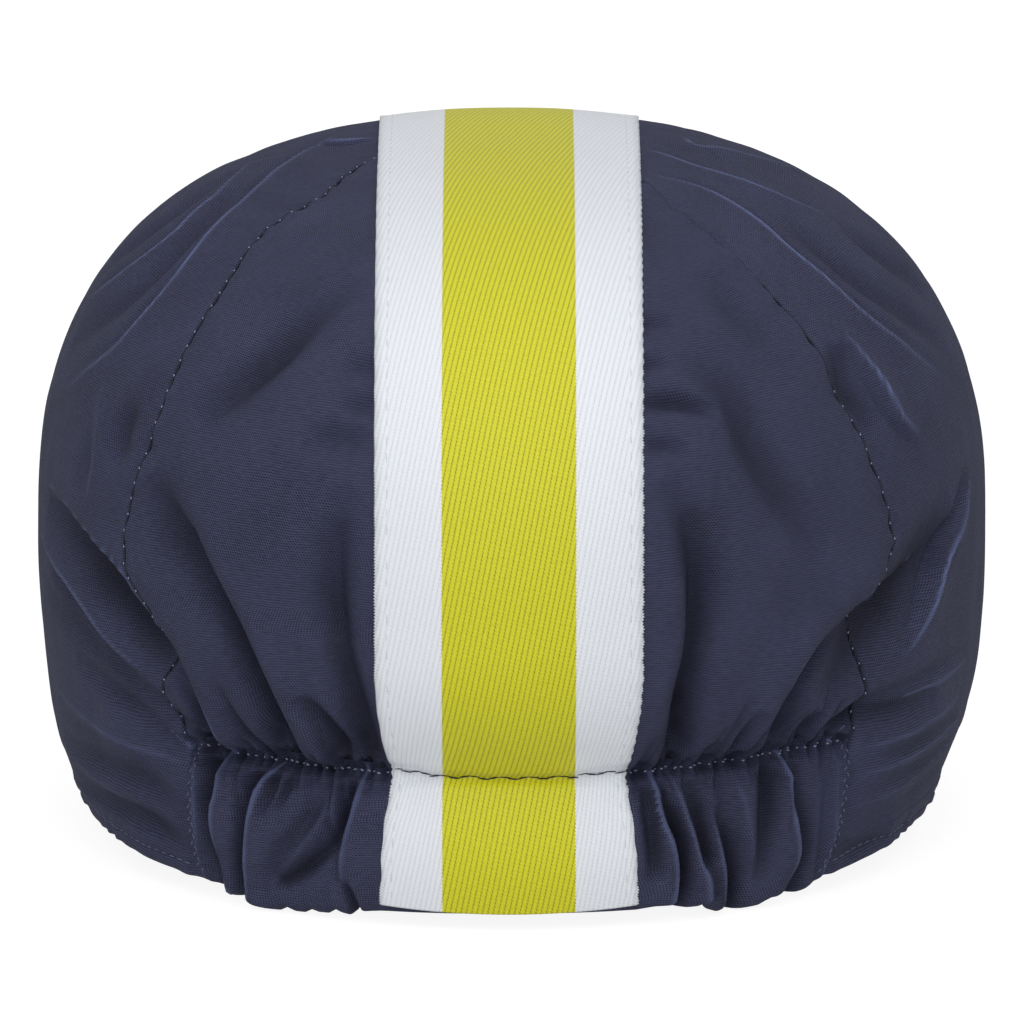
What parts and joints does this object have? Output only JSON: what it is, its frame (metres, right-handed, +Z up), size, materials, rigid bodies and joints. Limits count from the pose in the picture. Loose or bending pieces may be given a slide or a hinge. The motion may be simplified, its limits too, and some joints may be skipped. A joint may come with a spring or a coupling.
{
  "type": "cycling cap",
  "caption": "Close-fitting panelled cloth cycling cap with a short front peak, a striped tape from hem to hem over the crown and a gathered elastic casing at the back.",
  "frame": {"origin": "centre of the bounding box at its base, on the surface that the cap stands on", "axes": "+X to the wearer's right, +Y forwards to the peak, +Z up through the crown"},
  "size_m": [0.1842, 0.2732, 0.135],
  "materials": {
    "crown_cloth": "matt plain-woven navy cloth",
    "striped_tape": "twill-woven tape, lime middle stripe between two white ones"
  },
  "bodies": {
    "root": {"back_panel_left": "crown_cloth", "back_panel_right": "crown_cloth", "side_panel_left": "crown_cloth", "side_panel_right": "crown_cloth", "elastic_casing": "crown_cloth", "peak": "crown_cloth", "tape": "striped_tape"}
  },
  "joints": []
}
